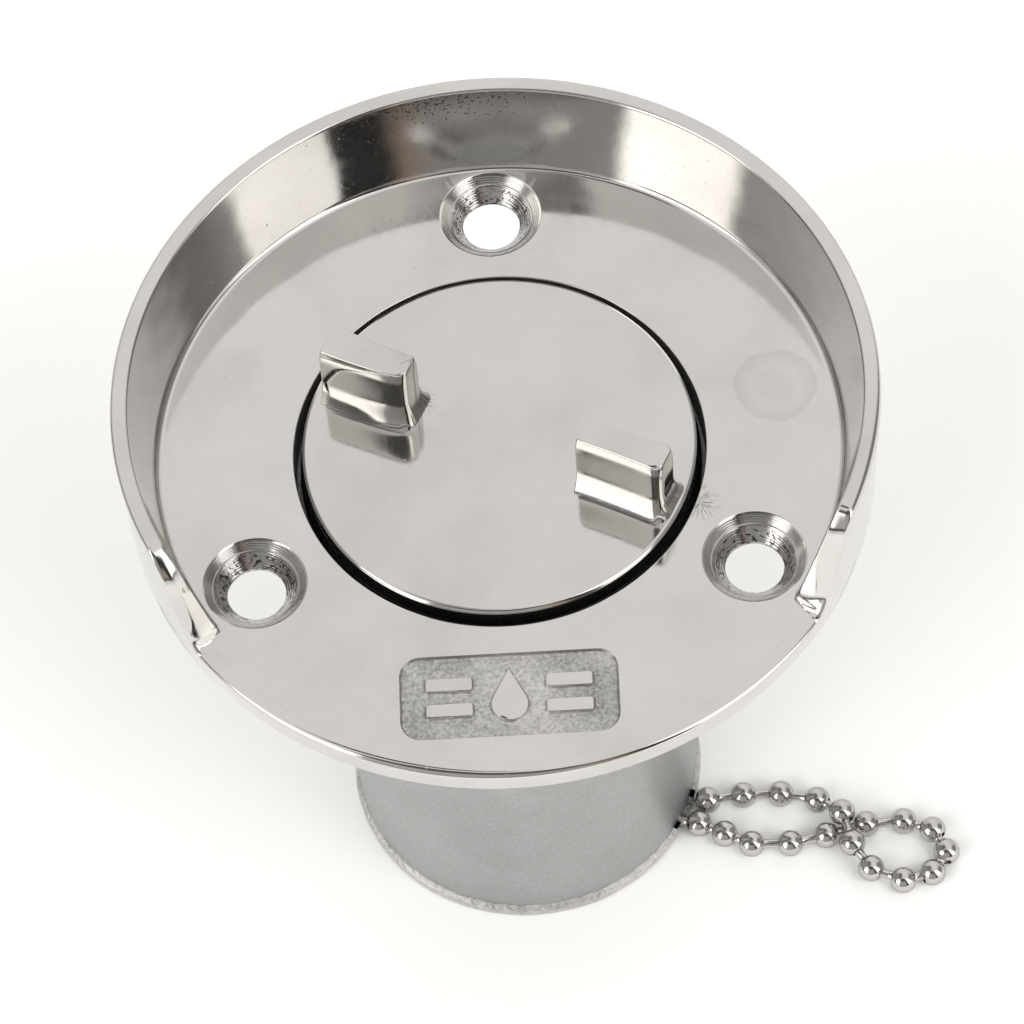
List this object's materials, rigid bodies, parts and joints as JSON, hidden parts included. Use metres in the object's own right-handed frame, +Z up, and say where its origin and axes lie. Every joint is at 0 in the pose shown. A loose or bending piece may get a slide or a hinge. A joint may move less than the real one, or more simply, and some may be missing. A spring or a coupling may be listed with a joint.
{
  "type": "deck fill cap",
  "caption": "Round polished deck fill with a splash collar, hose neck and keyless screw-in cap held captive by a ball chain.",
  "frame": {"origin": "centre of the flange's underside, on the deck plane and the neck's axis", "axes": "+Z up out of the deck along the neck's axis; the label recess and the collar's opening face -Y; +X to the right seen from the label side"},
  "size_m": [0.0888, 0.0795, 0.0798],
  "materials": {
    "polished_steel": "mirror-polished cast stainless steel",
    "cast_steel": "matt as-cast stainless steel",
    "seal_rubber": "matt nitrile rubber",
    "chain_steel": "bright stainless ball chain"
  },
  "bodies": {
    "deck_fill": {"deck_flange": "polished_steel", "hose_neck": "cast_steel", "anchor_tab": "cast_steel", "anchor_stud": "chain_steel", "anchor_bell": "chain_steel", "chain_balls": "chain_steel", "chain_links": "chain_steel"},
    "cap_swivel": {"cap_swivel_bell": "chain_steel", "cap_end_ball": "chain_steel"},
    "cap": {"filler_cap": "polished_steel", "cap_o_ring": "seal_rubber", "cap_swivel_stud": "chain_steel"}
  },
  "joints": [
    {"name": "cap_lift", "type": "slide", "parent": "deck_fill", "child": "cap_swivel", "axis": [0, 0, 1], "range_m": [0, 0.0075]},
    {"name": "cap_turn", "type": "hinge", "parent": "cap_swivel", "child": "cap", "pos_m": [0, 0, 0], "axis": [0, 0, 1], "range_deg": [0, 900]}
  ],
  "couplings": [
    {"joint": "cap_lift", "follows": "cap_turn", "m_per_rad": 0.00047746}
  ]
}
